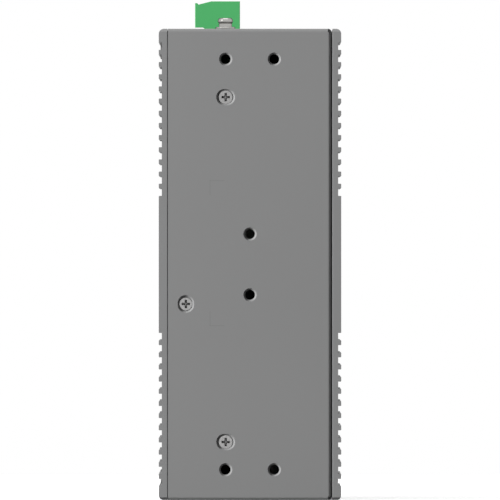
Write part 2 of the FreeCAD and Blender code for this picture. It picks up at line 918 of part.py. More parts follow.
def sfp_connectors():
    """One connector body for each column, with a card slot for each row."""
    y1 = connector_rear()
    y0 = y1 - connector_depth
    top = main_face + cage_height - cage_wall - connector_top_gap
    bodies = []
    for z in module_columns():
        shapes = [span_block(main_face, top, y0, y1, z, 2 * connector_half_width)]
        slots = []
        for x in module_rows():
            shapes.append(span_block(x - nose_thickness / 2, x + nose_thickness / 2, y0 - nose_length, y0, z,
                                     2 * nose_half_width))
            slots.append(span_block(x - card_slot / 2, x + card_slot / 2, y0 - nose_length,
                                    y0 - nose_length + card_slot_depth, z, 2 * card_slot_half_width))
        bodies.append(joined(shapes).cut(slots))
    return Part.Compound(bodies)


def lens_boxes(play, y0, y1):
    """The status lights from y0 to y1, with play round them."""
    x = main_face + lens_holder_height / 2
    half_length = lens_length / 2 + play
    boxes = []
    for i in range(lens_count):
        z = lens_low + lens_end_margin + i * lens_pitch
        boxes.append(span_block(x - half_length, x + half_length, y0, y1, z, lens_width + 2 * play))
    return boxes


def lens_holder():
    """Black holder of the status lights on the main board."""
    y0 = front + panel_sheet + lens_holder_gap
    body = block(main_face, main_face + lens_holder_height, y0, y0 + lens_holder_depth,
                 lens_low, lens_low + lens_span)
    return body.cut(lens_boxes(0, y0, y0 + lens_seat_depth))


def status_lenses():
    return Part.Compound(lens_boxes(0, front, front + panel_sheet + lens_holder_gap + lens_seat_depth))


def chip_plate(x0, x1, size):
    """A square plate on the axis of the switch chip."""
    y = rear - chip_inset
    z = mid_height - chip_drop
    return block(x0, x1, y - size / 2, y + size / 2, z - size / 2, z + size / 2)


def switch_chip():
    return chip_plate(main_back - chip_height, main_back, chip_size)


def chip_pad():
    return chip_plate(main_back - chip_height - pad, main_back - chip_height, chip_size)


def heat_spreader():
    """Aluminium block from the chip to the left wall, between two pads."""
    return chip_plate(inner_left + pad, main_back - chip_height - pad, spreader_size)


def spreader_pad():
    return chip_plate(inner_left, inner_left + pad, spreader_size)


def phy_chips():
    """Interface chips on the main board."""
    y0 = transformer_rear + phy_gap
    middle = port_low + port_span / 2
    zs = (middle - phy_spacing / 2, middle + phy_spacing / 2)
    return Part.Compound([span_block(main_face, main_face + phy_height, y0, y0 + phy_size, z, phy_size)
                          for z in zs])


def line_transformers():
    """One isolating transformer behind each column of jacks."""
    blocks = []
    for x, z, latch in port_places()[::2]:
        blocks.append(span_block(main_face, main_face + line_transformer_height,
                                 transformer_rear - line_transformer_depth, transformer_rear,
                                 z, line_transformer_width))
    return Part.Compound(blocks)


def link_part(x0, x1):
    """One half of the connector between the boards."""
    y = power_board_front + link_inset
    low = power_board_low + link_rise
    return block(x0, x1, y - link_length / 2, y + link_length / 2, low, low + link_width)


def link_socket():
    return link_part(main_face, main_face + link_socket_height)


def link_plug():
    return link_part(main_face + link_socket_height, power_back)


def plug_hollow(y):
    """What is cut at one pole: wire mouth, clamp chamber, screw hole and contact slot."""
    top = case_height + plug_height
    mouth_x = plug_face + wire_mouth_left
    chamber_x = plug_face + clamp_left - clamp_play
    chamber_low = case_height + clamp_low
    chamber_high = chamber_low + clamp_height + clamp_play
    half = wire_mouth / 2
    mouth = block(mouth_x, mouth_x + wire_mouth, y - half, y + half, chamber_high, top)
    flare = block(mouth_x - wire_mouth_flare, mouth_x + wire_mouth + wire_mouth_flare,
                  y - half - wire_mouth_flare, y + half + wire_mouth_flare, top - wire_mouth_flare_depth, top)
    chamber_half = clamp_width / 2 + clamp_play
    chamber_end = plug_face + clamp_left + clamp_length + clamp_play
    chamber = block(chamber_x, chamber_end, y - chamber_half, y + chamber_half, chamber_low, chamber_high)
    screw_hole = Part.makeCylinder(clamp_screw_r + clamp_hole_play, plug_right - chamber_end + clamp_play,
                                   Vector(chamber_end - clamp_play, y, case_height + clamp_screw_z), RIGHT)
    slot_x = leaf_width / 2 + leaf_play
    slot_y = pin_size / 2 + leaf_thickness + leaf_play
    slot = block(pin_centre - slot_x, pin_centre + slot_x, y - slot_y, y + slot_y, tongue_low, chamber_low)
    return [mouth, flare, chamber, screw_hole, slot]


def plug_housing():
    """Plug body: its end profile along the row of poles, hollow at each pole."""
    top = case_height + plug_height
    lip_x = plug_right - plug_lip_width
    right_low = case_height + plug_right_rise
    outline = [
        (tongue_left, case_height), (plug_face, case_height + plug_left_rise),
        (plug_face, top), (plug_face + plug_flat, top),
        (lip_x - plug_lip_step, top - plug_dip_drop), (lip_x, top - plug_lip_drop),
        (plug_right, top - plug_lip_drop), (plug_right, right_low),
        (tongue_right + tongue_right_slant, right_low), (tongue_right, case_height),
    ]
    body = profile_along_y(outline, terminal_y - plug_length / 2, terminal_y + plug_length / 2)
    tongue = block(tongue_left, tongue_right, terminal_y - tongue_half, terminal_y + tongue_half,
                   tongue_low, case_height)
    cuts = []
    for y in pole_places():
        cuts += plug_hollow(y)
    return joined([body, tongue]).cut(cuts)


def clamp_cages():
    """Wire clamps: a metal box with a wire hole and a threaded wall towards the screw."""
    low = case_height + clamp_low
    left = plug_face + clamp_left
    right = left + clamp_length
    half = clamp_width / 2
    cages = []
    for y in pole_places():
        cage = block(left, right, y - half, y + half, low, low + clamp_height)
        wire_hole = block(left + clamp_wall, right - clamp_nut_wall,
                          y - half + clamp_wall, y + half - clamp_wall,
                          low + clamp_wall, low + clamp_height)
        thread = Part.makeCylinder(clamp_screw_r + thread_play, clamp_nut_wall,
                                   Vector(right - clamp_nut_wall, y, case_height + clamp_screw_z), RIGHT)
        cages.append(cage.cut([wire_hole, thread]))
    return Part.Compound(cages)


def plug_screws():
    """Slotted clamp screws, reached from the right side of the plug."""
    end = plug_right - clamp_screw_sink
    tip = plug_face + clamp_left + clamp_length - clamp_nut_wall - clamp_screw_tip
    axis_z = case_height + clamp_screw_z
    screws = []
    for y in pole_places():
        shank = Part.makeCylinder(clamp_screw_r, end - tip, Vector(tip, y, axis_z), RIGHT)
        slot = block(end - clamp_slot_depth, end, y - clamp_screw_r, y + clamp_screw_r,
                     axis_z - clamp_slot_width / 2, axis_z + clamp_slot_width / 2)
        screws.append(shank.cut(slot))
    return Part.Compound(screws)


def plug_contacts():
    """Fork contacts: two leaves that grip a header pin, joined under the clamp."""
    low = tongue_low + leaf_tip_gap
    bridge_high = case_height + clamp_low
    bridge_low = bridge_high - leaf_thickness
    x0 = pin_centre - leaf_width / 2
    x1 = pin_centre + leaf_width / 2
    inner = pin_size / 2
    outer = inner + leaf_thickness
    contacts = []
    for y in pole_places():
        fork = block(x0, x1, y - outer, y + outer, low, bridge_high)
        contacts.append(fork.cut(block(x0, x1, y - inner, y + inner, low, bridge_low)))
    return Part.Compound(contacts)


def header_housing():
    """Socket on the power board that stands in the upper wall."""
    body = block(power_face, header_right, terminal_y - header_half, terminal_y + header_half,
                 header_low, case_height - header_rim_drop)
    half = tongue_half + header_play
    cuts = [block(tongue_left - header_play, tongue_right + header_play, terminal_y - half, terminal_y + half,
                  tongue_low, case_height)]
    reach = pin_size / 2 + pin_play
    for y in pole_places():
        cuts.append(block(pin_centre - reach, pin_centre + reach, y - reach, y + reach,
                          header_low, tongue_low))
    return body.cut(cuts)


def header_pins():
    """Square pins, bent under the header and soldered through the power board."""
    half = pin_size / 2
    pins = []
    for y in pole_places():
        upright = block(pin_centre - half, pin_centre + half, y - half, y + half,
                        elbow_z, case_height + pin_top)
        tail = block(power_back - pin_tail, pin_centre + half, y - half, y + half,
                     elbow_z, elbow_z + pin_size)
        pins.append(joined([upright, tail]))
    return Part.Compound(pins)


def ground_washer():
    disc = Part.makeCylinder(ground_washer_r, ground_washer_thickness)
    hole = Part.makeCylinder(ground_screw_r + hole_play, ground_washer_thickness)
    return placed(disc.cut(hole), Vector(ground_x, ground_y, case_height), UP)


def ground_lock_washer():
    """Split spring washer."""
    ring = Part.makeCylinder(lock_washer_r, lock_washer_thickness)
    hole = Part.makeCylinder(ground_screw_r + thread_play, lock_washer_thickness)
    split = block(0, lock_washer_r, -lock_washer_split / 2, lock_washer_split / 2, 0, lock_washer_thickness)
    z = case_height + ground_washer_thickness
    return placed(ring.cut([hole, split]), Vector(ground_x, ground_y, z), UP)


def ground_screw():
    screw = cheese_screw(ground_screw_r, ground_head_r, ground_head_height, ground_screw_length)
    recess = cross_recess(cross_span / 2)
    recess.translate(Vector(0, 0, ground_head_height))
    z = case_height + ground_washer_thickness + lock_washer_thickness
    return placed(screw.cut(recess), Vector(ground_x, ground_y, z), UP)


def ground_nut():
    nut = clinch_nut(ground_collar_flats, ground_nut_flats, ground_nut_height, ground_screw_r + thread_play)
    return placed(nut, Vector(ground_x, ground_y, case_height), UP)


def on_power_board(size, place):
    """A box on the component side of the power board."""
    along, up, height = size
    y0 = power_board_front + place[0] - along / 2
    z0 = power_board_low + place[1] - up / 2
    return block(power_face, power_face + height, y0, y0 + along, z0, z0 + up)


def transformer_coil():
    """Wound part of the power transformer."""
    return on_power_board(coil_size, coil_place)


def transformer_core():
    """Ferrite frame round the coil."""
    along, up, height = coil_size
    frame = on_power_board((along + 2 * core_margin, up - 2 * core_margin, height + core_margin), coil_place)
    return frame.cut(transformer_coil())


def power_inductor():
    return on_power_board(inductor_size, inductor_place)


def alarm_relay():
    return on_power_board(relay_size, relay_place)


def input_fuse():
    return on_power_board(fuse_size, fuse_place)


def bulk_capacitors():
    y = power_board_front + capacitor_place[0]
    low = power_board_low + capacitor_place[1]
    zs = [low + i * capacitor_pitch for i in range(capacitor_count)]
    return Part.Compound([Part.makeCylinder(capacitor_r, capacitor_height, Vector(power_face, y, z), RIGHT)
                          for z in zs])


pieces = [
    chassis_tray, front_panel, left_heat_sink, right_heat_sink, heat_film, wall_mount_nuts, rail_clip_nuts,
    carrier_screws, bracket_screw, cover_bracket, cover_screws, panel_screws, board_carrier, main_board,
    board_guides, power_board, power_standoffs, power_board_screws, port_block, port_shield, port_contacts,
    port_lights, console_jack, console_shield, console_contacts, sfp_cage, sfp_divider, sfp_centre_sections,
    cage_lights, sfp_connectors, lens_holder, status_lenses, switch_chip, chip_pad, heat_spreader,
    spreader_pad, phy_chips, line_transformers, link_socket, link_plug, plug_housing, clamp_cages,
    plug_screws, plug_contacts, header_housing, header_pins, ground_washer, ground_lock_washer,
    ground_screw, ground_nut, transformer_coil, transformer_core, power_inductor, alarm_relay,
    bulk_capacitors, input_fuse,
]

for piece in pieces:
    piece().exportStep(f"parts/{piece.__name__}.step")
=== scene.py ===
import json
import math

import bmesh
import bpy
from mathutils import Matrix, Vector


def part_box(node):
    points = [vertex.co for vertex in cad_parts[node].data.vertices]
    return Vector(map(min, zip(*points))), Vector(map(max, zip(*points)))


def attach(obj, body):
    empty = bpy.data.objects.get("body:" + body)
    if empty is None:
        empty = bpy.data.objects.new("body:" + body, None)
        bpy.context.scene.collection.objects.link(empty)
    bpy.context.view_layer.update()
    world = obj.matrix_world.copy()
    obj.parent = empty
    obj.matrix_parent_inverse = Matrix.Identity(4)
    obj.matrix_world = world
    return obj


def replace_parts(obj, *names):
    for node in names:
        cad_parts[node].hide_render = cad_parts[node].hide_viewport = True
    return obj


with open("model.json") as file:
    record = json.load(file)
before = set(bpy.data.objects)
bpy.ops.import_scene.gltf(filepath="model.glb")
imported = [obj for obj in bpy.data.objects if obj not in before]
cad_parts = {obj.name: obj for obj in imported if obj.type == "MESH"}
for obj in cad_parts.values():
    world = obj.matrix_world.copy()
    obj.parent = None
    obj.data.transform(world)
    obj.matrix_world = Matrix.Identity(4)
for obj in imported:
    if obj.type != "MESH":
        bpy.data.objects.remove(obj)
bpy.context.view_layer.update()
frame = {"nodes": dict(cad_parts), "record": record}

nodes = frame["nodes"]
MM = 0.001

# Chassis: the rear, upper, lower and left walls are folded from one steel sheet.
# It is powder coated grey after folding, with a fine orange peel in the coat.
# Two faint corner marks show on the rear wall, beside the threads for a rail clip. They are painted shade:
# thin lines of darker paint that stand for the shadows of shallow grooves.
PAINT = (0.219, 0.220, 0.220)
PAINT_ROUGHNESS = 0.4
PAINT_GLOSS = 0.1
PEEL_SCALE = 1500.0
PEEL_DETAIL = 3.0
PEEL_HEIGHT = 0.004 * MM
PEEL_TONE = 0.01
PEEL_SHEEN = 0.08
CLOUD_SCALE = 16.0
CLOUD_TONE = 0.05
MARK_X = 13.3 * MM
MARK_ZS = (57.2 * MM, 105.2 * MM)
MARK_ARM = 4.9 * MM
MARK_LINE = 0.32 * MM
MARK_SHADE_TONE = 0.92
MARK_DEPTH = 0.1 * MM
rear_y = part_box("chassis_tray")[1][1]


class Value:
    """A shader socket that can stand in a sum."""

    def __init__(self, nodes, socket):
        self.nodes = nodes
        self.socket = socket

    def worked(self, operation, *values):
        return self.nodes.add("ShaderNodeMath", {"operation": operation}, dict(enumerate(values)))

    def __add__(self, other):
        return self.worked("ADD", self, other)

    def __rsub__(self, other):
        return self.worked("SUBTRACT", other, self)

    def __mul__(self, other):
        return self.worked("MULTIPLY", self, other)

    def __gt__(self, other):
        return self.worked("GREATER_THAN", self, other)

    def __lt__(self, other):
        return self.worked("LESS_THAN", self, other)

    __radd__ = __add__
    __rmul__ = __mul__


class Nodes:
    """The nodes behind a material or the studio's light."""

    def __init__(self, tree):
        self.tree = tree

    def add(self, kind, settings=None, inputs=None, output=0):
        """A node of any kind, with its settings made first, then its sockets."""
        node = self.tree.nodes.new(kind)
        for setting, value in (settings or {}).items():
            setattr(node, setting, value)
        for socket, value in (inputs or {}).items():
            if isinstance(value, Value):
                self.tree.links.new(value.socket, node.inputs[socket])
            else:
                node.inputs[socket].default_value = value
        return Value(self, node.outputs[output])


class Finish(Nodes):
    """A material for one finish. What is the same all over it is set on the shader's sockets."""

    def __init__(self, name, sockets):
        self.material = bpy.data.materials.new(name)
        self.material.use_nodes = True
        super().__init__(self.material.node_tree)
        self.shader = self.tree.nodes["Principled BSDF"]
        for socket, value in sockets.items():
            self.shader.inputs[socket].default_value = value

    def feed(self, socket, value):
        self.tree.links.new(value.socket, self.shader.inputs[socket])

    def along(self, axis):
        """The place along X, Y or Z."""
        place = self.add("ShaderNodeTexCoord", output="Object")
        return self.add("ShaderNodeSeparateXYZ", None, {0: place}, axis)

    def noise(self, scale, detail=2.0):
        """Noise from 0 to 1 in the object's own space."""
        place = self.add("ShaderNodeTexCoord", output="Object")
        return self.add("ShaderNodeTexNoise", None, {"Vector": place, "Scale": scale, "Detail": detail})

    def tinted(self, colour, tone):
        """A colour made darker or lighter by a value round 1."""
        return self.add("ShaderNodeVectorMath", {"operation": "SCALE"}, {"Vector": colour, "Scale": tone})

    def bump(self, height, distance):
        """Raises the surface by a height from 0 to 1 times a distance."""
        normal = self.add("ShaderNodeBump", None, {"Height": height, "Distance": distance}, "Normal")
        self.feed("Normal", normal)


def about(middle, *swings):
    """A value that noise moves about a middle. Each swing is its whole size and its noise."""
    value = middle - sum(size for size, noise in swings) / 2
    for size, noise in swings:
        value = value + size * noise
    return value


def between(value, *limits):
    """1 where a value lies between two limits."""
    return (value > min(limits)) * (value < max(limits))


def powder_coat(name, colour, shade_lines=False):
    """Painted metal. When asked, it adds the rear wall's corner marks, thin lines of painted shade."""
    coat = Finish(name, {"Roughness": PAINT_ROUGHNESS, "Specular IOR Level": PAINT_GLOSS})
    peel = coat.noise(PEEL_SCALE, PEEL_DETAIL)
    tone = about(1.0, (CLOUD_TONE, coat.noise(CLOUD_SCALE)), (PEEL_TONE, peel))
    if shade_lines:
        x = coat.along(0)
        z = coat.along(2)
        on_rear = coat.along(1) > rear_y - MARK_DEPTH
        column = between(x, MARK_X - MARK_LINE, MARK_X)
        row = between(x, MARK_X - MARK_ARM, MARK_X)
        # Each corner mark darkens the coat along two thin lines. This is painted shade where the shadows of
        # shallow grooves would fall, not a real mark in the paint.
        for corner, inward in zip(MARK_ZS, (1, -1)):
            upright = column * between(z, corner, corner + inward * MARK_ARM)
            level = row * between(z, corner, corner + inward * MARK_LINE)
            for line in (upright, level):
                tone = tone * (1.0 - (1.0 - MARK_SHADE_TONE) * on_rear * line)
    coat.feed("Base Color", coat.tinted(colour, tone))
    coat.feed("Roughness", about(PAINT_ROUGHNESS, (PEEL_SHEEN, peel)))
    coat.bump(peel, PEEL_HEIGHT)
    return coat.material


def dress(material, *names):
    """Gives CAD nodes a finish."""
    for name in names:
        for slot in nodes[name].material_slots:
            slot.material = material


dress(powder_coat("marked_powder_coat", PAINT, shade_lines=True), "chassis_tray")

# Front panel: a folded sheet with windows for the jacks, cages and status lights.
# It is painted like the chassis and held by one small screw above and one below.
case_paint = powder_coat("case_powder_coat", PAINT)
dress(case_paint, "front_panel")

# Side plates: grooved aluminium extrusions, painted, with every rib's edge rounded by the die.
# The right one is screwed on. The left one is bonded to the chassis with a heat film.
PLATE_PAINT = (0.219, 0.220, 0.221)
RIB_ROUND = 0.2 * MM
LONG_EDGE = 0.9
MERGE = 0.002 * MM
FLAT = math.radians(1)
SHARP = math.radians(30)


def merged(node):
    """A merged copy of a CAD solid, with its flat faces whole."""
    bm = bmesh.new()
    bm.from_mesh(nodes[node].data)
    bmesh.ops.remove_doubles(bm, verts=bm.verts, dist=MERGE)
    bmesh.ops.dissolve_limit(bm, angle_limit=FLAT, verts=bm.verts, edges=bm.edges)
    return bm


def soften(bm, width, least_length=0.0):
    """Rounds the outward sharp edges that are longer than a length."""
    sharp = [edge for edge in bm.edges if edge.is_manifold and edge.is_convex
             and edge.calc_face_angle() > SHARP and edge.calc_length() > least_length]
    bmesh.ops.bevel(bm, geom=sharp, offset=width, segments=2, profile=0.5, affect="EDGES",
                    material=-1, clamp_overlap=True)


def piece(name, bm, slot, *materials):
    """Makes a finished piece of the object from a bmesh."""
    mesh = bpy.data.meshes.new(name)
    bm.to_mesh(mesh)
    bm.free()
    for material in materials:
        mesh.materials.append(material)
    made = bpy.data.objects.new(name, mesh)
    bpy.context.scene.collection.objects.link(made)
    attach(made, "root")
    return made


plate_paint = powder_coat("plate_powder_coat", PLATE_PAINT)
plate_length = rear_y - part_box("left_heat_sink")[0][1]
for side in ("left", "right"):
    bm = merged(f"{side}_heat_sink")
    soften(bm, RIB_ROUND, LONG_EDGE * plate_length)
    plate = piece(f"{side}_side_plate", bm, "sink_paint", plate_paint)
    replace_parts(plate, f"{side}_heat_sink")

# Heat film: dark graphite film, die cut, that bonds the left plate to the chassis.
# The pads between the switch chip, its spreader and the chassis are cut from like stuff.
GRAPHITE = (0.03, 0.03, 0.032)
GRAPHITE_SWING = 0.4
GRAPHITE_GRAIN = 700.0
film = Finish("heat_film_graphite", {"Roughness": 0.6})
film_tone = about(1.0, (GRAPHITE_SWING, film.noise(GRAPHITE_GRAIN)))
film.feed("Base Color", film.tinted(GRAPHITE, film_tone))
dress(film.material, "heat_film", "chip_pad", "spreader_pad")

# Mounting nuts: M4 nuts with a hexagonal collar, pressed into the rear wall before painting.
# The paint covers the collar and the chamfer of the mouth, and the masked thread is dark zinc.
RING_STEPS = 48
COLLAR_FLATS = 5.4 * MM
NUT_FLATS = 7.6 * MM
COLLAR_DEPTH = 1.0 * MM
NUT_DEPTH = 3.0 * MM
MOUTH_R = 2.18 * MM
MOUTH_DEPTH = 0.72 * MM
THREAD_CREST = 1.62 * MM
THREAD_ROOT = 1.95 * MM
THREAD_PITCH = 0.7 * MM
SIXTH = math.pi / 3
ZINC = (0.33, 0.328, 0.326)
ZINC_ROUGHNESS = 0.43
GLANCING_TONE = (0.1, 0.1, 0.1, 1.0)
PLATING_GRAIN = 900.0
PLATING_SWING = 0.24
PLATING_SHEEN = 0.14
mounts = {mount["name"]: mount for mount in frame["record"]["mounts"]}
middle_z = mounts["wall_plate_threads"]["pos_m"][2]
wall_x = mounts["wall_plate_threads"]["dims"]["spacing_x_mm"] / 2 * MM
wall_z = mounts["wall_plate_threads"]["dims"]["spacing_y_mm"] / 2 * MM
clip_z = mounts["rail_clip_threads"]["dims"]["spacing_y_mm"] / 2 * MM


def turned(bm, outline):
    """Spins (radius, z) points round the Z axis. A repeated point, or one on the axis, closes the skin."""
    points = [bm.verts.new((radius, 0.0, z)) for radius, z in outline]
    line = [bm.edges.new(ends) for ends in zip(points, points[1:])]
    bmesh.ops.spin(bm, geom=points + line, axis=(0, 0, 1), cent=(0, 0, 0), angle=2 * math.pi,
                   steps=RING_STEPS, use_merge=True)
    bmesh.ops.remove_doubles(bm, verts=bm.verts, dist=MERGE)


def plated(name, colour, roughness, grain=PLATING_GRAIN):
    """Plated or bright metal with a faintly cloudy sheen, dull at a glancing angle."""
    metal = Finish(name, {"Metallic": 1.0, "Roughness": roughness, "Specular Tint": GLANCING_TONE})
    cloud = metal.noise(grain)
    haze = metal.noise(grain * 2, detail=3.0)
    metal.feed("Base Color", metal.tinted(colour, about(1.0, (PLATING_SWING, cloud))))
    metal.feed("Roughness", about(roughness, (PLATING_SHEEN, haze)))
    return metal.material


def facing(point, outward):
    """The place of a part that was drawn on the Z axis, with its +Z outward."""
    return Matrix.Translation(point) @ Vector(outward).to_track_quat("Z", "Y").to_matrix().to_4x4()


def verts_in(geometry):
    """The vertices among vertices, edges and faces."""
    return [item for item in geometry if isinstance(item, bmesh.types.BMVert)]


def set_at(bm, places):
    """Copies what was drawn to each place."""
    drawn = bm.verts[:] + bm.edges[:] + bm.faces[:]
    for place in places:
        copy = bmesh.ops.duplicate(bm, geom=drawn)["geom"]
        bmesh.ops.transform(bm, matrix=place, verts=verts_in(copy))
    bmesh.ops.delete(bm, geom=verts_in(drawn), context="VERTS")
    bmesh.ops.recalc_face_normals(bm, faces=bm.faces)


def mounting_nut(bm):
    """A nut with its open mouth at z = 0. All but its thread is painted."""
    outline = [(THREAD_CREST, -NUT_DEPTH), (NUT_FLATS / 2, -NUT_DEPTH), (NUT_FLATS / 2, -COLLAR_DEPTH),
               (COLLAR_FLATS / 2, -COLLAR_DEPTH), (COLLAR_FLATS / 2, 0), (MOUTH_R, 0),
               (THREAD_CREST, -MOUTH_DEPTH)]
    depth = MOUTH_DEPTH
    while depth + THREAD_PITCH < NUT_DEPTH:
        outline += [(THREAD_ROOT, -depth - THREAD_PITCH / 2), (THREAD_CREST, -depth - THREAD_PITCH)]
        depth += THREAD_PITCH
    turned(bm, outline + outline[:1])
    for vert in bm.verts:
        if vert.co.xy.length > MOUTH_R + MERGE:
            from_flat = math.atan2(vert.co.y, vert.co.x) % SIXTH - SIXTH / 2
            vert.co.xy /= math.cos(from_flat)
    for face in bm.faces:
        face.material_index = int(max(vert.co.xy.length for vert in face.verts) > THREAD_ROOT + MERGE)


zinc = plated("dull_zinc", ZINC, ZINC_ROUGHNESS)
for node, places in (
    ("wall_mount_nuts", [(x, middle_z + z) for x in (-wall_x, wall_x) for z in (-wall_z, wall_z)]),
    ("rail_clip_nuts", [(0.0, middle_z + z) for z in (-clip_z, clip_z)]),
):
    bm = bmesh.new()
    mounting_nut(bm)
    set_at(bm, [facing((x, rear_y, z), (0, 1, 0)) for x, z in places])
    nuts = piece(f"threaded_{node}", bm, "bare_steel", zinc, case_paint)
    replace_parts(nuts, node)

# Small screws: countersunk, zinc plated, with a cross recess pressed into the head.
# Three sit sunk in the rear wall, and one each in the upper and lower walls holds the front panel.
CROSS_WIDTH = 0.76 * MM
CROSS_SPAN = 2.75 * MM
CROSS_DEPTH = 0.9 * MM
CROSS_END_DEPTH = 1.25 * MM
CROSS_FLOOR = 0.88
CROSS_PIT = 0.2
SMALL_HEAD_R = 2.25 * MM
BRACKET_HEAD_R = 2.12 * MM
SMALL_SHANK_R = 1.25 * MM
SMALL_LENGTH = 5.0 * MM
HEAD_ROUND = 0.12 * MM
CARRIER_SCREW_X = 8.0 * MM
CARRIER_SCREW_ZS = (19.1 * MM, 132.5 * MM)
BRACKET_SCREW_X = 21.1 * MM
BRACKET_SCREW_Z = 64.5 * MM
PANEL_SCREW_X = 4.0 * MM
PANEL_SCREW_Y = -47.5 * MM
sunk_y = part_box("bracket_screw")[1][1]
case_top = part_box("chassis_tray")[1][2]


def cross_recess(bm, z):
    """A sunk cross with slanting sides, and its arms' ends deepest."""
    grid = bmesh.ops.create_grid(bm, x_segments=3, y_segments=3, size=1.0)["verts"]
    for vert in grid:
        for axis in (0, 1):
            span = CROSS_SPAN if abs(vert.co[axis]) > 0.5 else CROSS_WIDTH
            vert.co[axis] = math.copysign(span / 2, vert.co[axis])
        vert.co.z = z
    bmesh.ops.delete(bm, geom=[vert for vert in grid if len(vert.link_faces) == 1], context="VERTS")
    floor_verts = [vert for vert in grid if vert.is_valid]
    mouth = [edge for edge in bm.edges if edge.is_boundary and edge.verts[0] in floor_verts]
    bmesh.ops.extrude_edge_only(bm, edges=mouth)
    for vert in floor_verts:
        at_end = vert.co.xy.length > CROSS_SPAN / 2
        for axis in (0, 1):
            vert.co[axis] *= CROSS_FLOOR if abs(vert.co[axis]) > CROSS_WIDTH else CROSS_PIT
        vert.co.z -= CROSS_END_DEPTH if at_end else CROSS_DEPTH


def screw(bm, outline):
    """A crossed screw on the Z axis. The outline runs down as (radius, z) from the head's rim."""
    turned(bm, outline + [(0.0, outline[-1][1])])
    cross_recess(bm, outline[0][1])
    open_edges = [edge for edge in bm.edges if edge.is_boundary]
    bmesh.ops.triangle_fill(bm, edges=open_edges, use_beauty=True, use_dissolve=False, normal=(0, 0, 1))


for node, head_r, places in (
    ("carrier_screws", SMALL_HEAD_R, [((CARRIER_SCREW_X, sunk_y, z), (0, 1, 0)) for z in CARRIER_SCREW_ZS]),
    ("bracket_screw", BRACKET_HEAD_R, [((BRACKET_SCREW_X, sunk_y, BRACKET_SCREW_Z), (0, 1, 0))]),
    ("panel_screws", SMALL_HEAD_R, [((PANEL_SCREW_X, PANEL_SCREW_Y, case_top), (0, 0, 1)),
                                    ((PANEL_SCREW_X, PANEL_SCREW_Y, 0), (0, 0, -1))]),
):
    bm = bmesh.new()
    screw(bm, [(head_r - HEAD_ROUND, 0.0), (head_r, -HEAD_ROUND / 2),
               (SMALL_SHANK_R, SMALL_SHANK_R - head_r), (SMALL_SHANK_R, -SMALL_LENGTH)])
    set_at(bm, [facing(point, outward) for point, outward in places])
    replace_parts(piece(f"crossed_{node}", bm, "bare_steel", zinc), node)

# Cover screws: zinc-plated cheese-head screws that hold the right plate, two in front and one behind.
# Each sits in a counterbore, just below the ribs.
COVER_HEAD_R = 2.75 * MM
COVER_HEAD_HEIGHT = 1.7 * MM
COVER_HEAD_ROUND = 0.24 * MM
COVER_SHANK_R = 1.5 * MM
COVER_LENGTH = 4.0 * MM
COVER_FRONT_Y = -42.0 * MM
COVER_FRONT_ZS = (6.5 * MM, 148.5 * MM)
COVER_REAR_Y = 45.0 * MM
cover_seat_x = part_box("cover_screws")[1][0] - COVER_HEAD_HEIGHT
cover_places = [(cover_seat_x, COVER_FRONT_Y, z) for z in COVER_FRONT_ZS]
cover_places.append((cover_seat_x, COVER_REAR_Y, BRACKET_SCREW_Z))
bm = bmesh.new()
screw(bm, [(COVER_HEAD_R - COVER_HEAD_ROUND, COVER_HEAD_HEIGHT),
           (COVER_HEAD_R, COVER_HEAD_HEIGHT - COVER_HEAD_ROUND),
           (COVER_HEAD_R, 0.0), (COVER_SHANK_R, 0.0), (COVER_SHANK_R, -COVER_LENGTH)])
set_at(bm, [facing(place, (1, 0, 0)) for place in cover_places])
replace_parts(piece("crossed_cover_screws", bm, "bare_steel", zinc), "cover_screws")

# Hidden steel: the power board's carrier and the cover bracket are punched and folded sheet.
# They, the board's screws and the ground screw's nut are zinc plated and not painted.
SHEET_ZINC = (0.42, 0.42, 0.43)
SHEET_ROUGHNESS = 0.39
SHEET_GRAIN = 300.0
steel = plated("plated_sheet", SHEET_ZINC, SHEET_ROUGHNESS, SHEET_GRAIN)
dress(steel, "board_carrier", "cover_bracket", "power_board_screws", "ground_nut")

# Boards: glass fibre circuit boards, routed to shape, under a green solder mask.
# The main board slides into two guides, and the power board is screwed to pillars on its carrier.
MASK_GREEN = (0.015, 0.14, 0.05)
MASK_SWING = 0.4
MASK_SCALE = 180.0
mask = Finish("solder_mask", {"Roughness": 0.35, "Coat Weight": 0.2})
mask_tone = about(1.0, (MASK_SWING, mask.noise(MASK_SCALE)))
mask.feed("Base Color", mask.tinted(MASK_GREEN, mask_tone))
dress(mask.material, "main_board", "power_board")

# Black mouldings: jack block, connectors, chips, transformers, relay, inductor, fuse and guides.
# They are filled plastic with a fine spark-eroded texture from their moulds. The power
# transformer's core is dark ferrite and looks the same.
BLACK = (0.012, 0.012, 0.013)
BLACK_ROUGHNESS = 0.45
MOULD_GLOSS = 0.4
MOULD_GRAIN = 3000.0
MOULD_GRAIN_HEIGHT = 0.004 * MM
MOULD_GRAIN_TONE = 0.04
MOULD_GRAIN_SHEEN = 0.1
MOULD_CLOUD = 60.0
MOULD_CLOUD_TONE = 0.06


def moulded(name, colour, roughness):
    """Moulded plastic."""
    plastic = Finish(name, {"Roughness": roughness, "Specular IOR Level": MOULD_GLOSS})
    grain = plastic.noise(MOULD_GRAIN, detail=3.0)
    tone = about(1.0, (MOULD_CLOUD_TONE, plastic.noise(MOULD_CLOUD)), (MOULD_GRAIN_TONE, grain))
    plastic.feed("Base Color", plastic.tinted(colour, tone))
    plastic.feed("Roughness", about(roughness, (MOULD_GRAIN_SHEEN, grain)))
    plastic.bump(grain, MOULD_GRAIN_HEIGHT)
    return plastic.material


black_plastic = moulded("black_moulding", BLACK, BLACK_ROUGHNESS)
dress(black_plastic, "switch_chip", "phy_chips", "line_transformers", "link_socket", "link_plug",
      "power_inductor", "alarm_relay", "transformer_core", "input_fuse", "board_guides",
      "port_block", "console_jack", "sfp_centre_sections", "sfp_connectors", "lens_holder")

